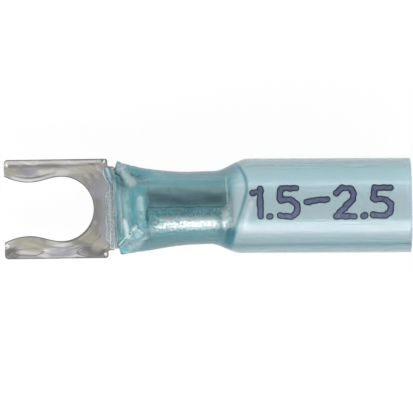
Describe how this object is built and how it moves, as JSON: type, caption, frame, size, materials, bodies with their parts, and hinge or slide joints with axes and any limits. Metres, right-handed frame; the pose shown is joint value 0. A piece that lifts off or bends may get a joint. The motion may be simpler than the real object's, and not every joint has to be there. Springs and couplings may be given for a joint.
{
  "type": "heat-shrink fork terminal",
  "caption": "Snap fork terminal: tinned forked tongue for a screw stud, crimp barrel, and a translucent teal heat-shrink sleeve whose wide tube takes the wire.",
  "frame": {"origin": "middle of the base of the terminal's box, as it lies on its tube with the tongue level", "axes": "+X from the fork's tips to the open end of the tube, +Z square to the tongue on its screw side"},
  "size_m": [0.0284, 0.007, 0.0067],
  "materials": {
    "tinned_metal": "bright tin plate, slightly uneven",
    "translucent_sleeve": "glossy translucent blue-green heat-shrink tube",
    "adhesive": "clear crinkled hot-melt film"
  },
  "bodies": {
    "root": {"metal_fork": "tinned_metal", "shrink_sleeve": "translucent_sleeve", "adhesive_lip": "adhesive"}
  },
  "joints": []
}
